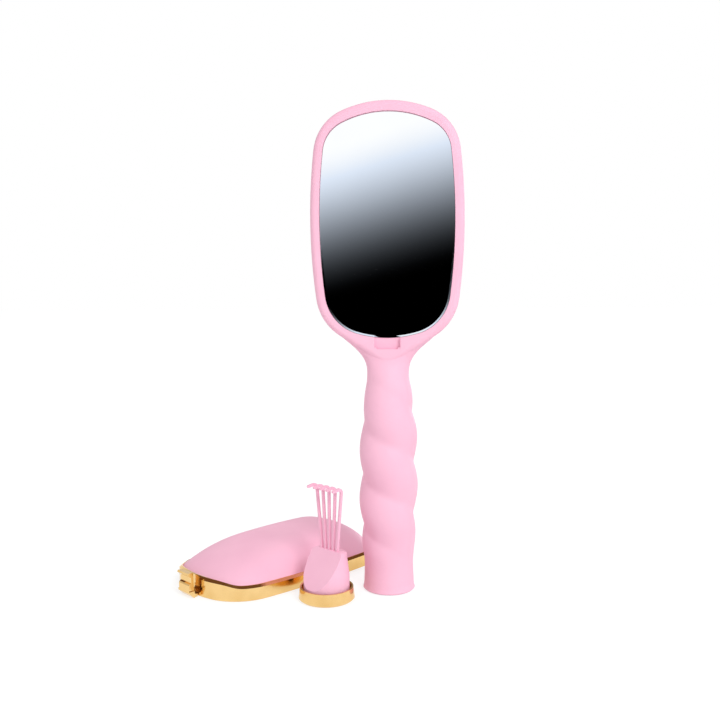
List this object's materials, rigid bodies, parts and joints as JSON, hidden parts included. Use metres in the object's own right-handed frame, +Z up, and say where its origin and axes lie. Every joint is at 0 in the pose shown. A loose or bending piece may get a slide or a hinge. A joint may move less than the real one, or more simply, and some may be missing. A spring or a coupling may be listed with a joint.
{
  "type": "boar bristle hair brush",
  "caption": "Upright boar bristle hair brush with a twisted hollow handle, a mirror on the back of the head, a press-on mirror cover and a cleaning rake that plugs into the handle.",
  "frame": {"origin": "centre of the open lower end of the handle, on the surface it stands on", "axes": "+Z up along the handle to the head, mirror toward -Y, bristles toward +Y"},
  "size_m": [0.1488, 0.1097, 0.2438],
  "materials": {
    "pink_body": "satin pink moulding",
    "gold_trim": "plated gold",
    "mirror": "silvered glass",
    "foam": "closed-cell foam tape",
    "white_plastic": "plain moulding",
    "steel": "zinc plated",
    "cushion_rubber": "matt rubber",
    "boar_bristle": "natural boar bristle",
    "tine_plastic": "satin pink moulding",
    "foot_rubber": "thin non-slip pad"
  },
  "bodies": {
    "brush": {"brush_body": "pink_body", "mirror_glass": "mirror", "mirror_backing": "foam", "cushion_tray": "white_plastic", "tray_screws": "steel", "cushion_pad": "cushion_rubber", "bristle_bezel": "pink_body", "boar_tufts": "boar_bristle"},
    "cover": {"cover_band": "gold_trim", "cover_shell": "pink_body", "clip_ring": "pink_body"},
    "latch": {"latch_tab": "gold_trim"},
    "rake": {"rake_plug": "pink_body", "foot_cap": "gold_trim", "cap_screw": "steel", "foot_pad": "foot_rubber", "tine_far_left": "tine_plastic", "tine_left": "tine_plastic", "tine_middle": "tine_plastic", "tine_right": "tine_plastic", "tine_far_right": "tine_plastic"}
  },
  "joints": [
    {"name": "cover_lift", "type": "slide", "parent": "brush", "child": "cover", "axis": [0, 0, 1], "range_m": [0, 0.06]},
    {"name": "latch_press", "type": "hinge", "parent": "cover", "child": "latch", "pos_m": [-0.09884, -0.01567, 0.00075], "axis": [-0.742, 0.6704, 0], "range_deg": [0, 8], "stiffness_Nm_per_rad": 0.6},
    {"name": "rake_lift", "type": "slide", "parent": "brush", "child": "rake", "axis": [0, 0, 1], "range_m": [0, 0.05]}
  ]
}
